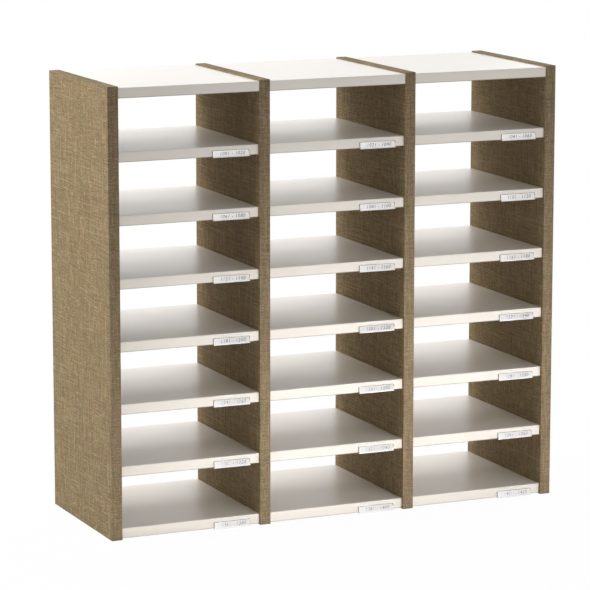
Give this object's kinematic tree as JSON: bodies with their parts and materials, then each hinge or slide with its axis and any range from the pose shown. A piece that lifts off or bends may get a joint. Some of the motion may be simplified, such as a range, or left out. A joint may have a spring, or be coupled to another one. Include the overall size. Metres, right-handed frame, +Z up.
{
  "type": "pigeonhole mail sorter",
  "caption": "Free-standing open-backed pigeonhole sorter: linen-look laminate uprights carry bays of white shelves, each shelf with a clear label holder on its front edge.",
  "frame": {"origin": "middle of the base, on the surface that the uprights stand on", "axes": "+Z up, +X to the right as seen from the front, +Y from the front to the back, so the label holders face -Y"},
  "size_m": [0.9052, 0.308, 0.832],
  "materials": {
    "linen_laminate": "matt tan laminate with a linen weave, on particle board",
    "white_melamine": "satin warm white melamine, on particle board",
    "clear_plastic": "clear glossy extruded plastic"
  },
  "bodies": {
    "root": {"left_side_panel": "linen_laminate", "divider_panel_1": "linen_laminate", "divider_panel_2": "linen_laminate", "right_side_panel": "linen_laminate", "left_top_board": "white_melamine", "left_shelf_1": "white_melamine", "left_shelf_2": "white_melamine", "left_shelf_3": "white_melamine", "left_shelf_4": "white_melamine", "left_shelf_5": "white_melamine", "left_shelf_6": "white_melamine", "left_bottom_board": "white_melamine", "middle_top_board": "white_melamine", "middle_shelf_1": "white_melamine", "middle_shelf_2": "white_melamine", "middle_shelf_3": "white_melamine", "middle_shelf_4": "white_melamine", "middle_shelf_5": "white_melamine", "middle_shelf_6": "white_melamine", "middle_bottom_board": "white_melamine", "right_top_board": "white_melamine", "right_shelf_1": "white_melamine", "right_shelf_2": "white_melamine", "right_shelf_3": "white_melamine", "right_shelf_4": "white_melamine", "right_shelf_5": "white_melamine", "right_shelf_6": "white_melamine", "right_bottom_board": "white_melamine", "left_label_holder_1": "clear_plastic", "left_label_holder_2": "clear_plastic", "left_label_holder_3": "clear_plastic", "left_label_holder_4": "clear_plastic", "left_label_holder_5": "clear_plastic", "left_label_holder_6": "clear_plastic", "left_label_holder_7": "clear_plastic", "middle_label_holder_1": "clear_plastic", "middle_label_holder_2": "clear_plastic", "middle_label_holder_3": "clear_plastic", "middle_label_holder_4": "clear_plastic", "middle_label_holder_5": "clear_plastic", "middle_label_holder_6": "clear_plastic", "middle_label_holder_7": "clear_plastic", "right_label_holder_1": "clear_plastic", "right_label_holder_2": "clear_plastic", "right_label_holder_3": "clear_plastic", "right_label_holder_4": "clear_plastic", "right_label_holder_5": "clear_plastic", "right_label_holder_6": "clear_plastic", "right_label_holder_7": "clear_plastic"}
  },
  "joints": []
}
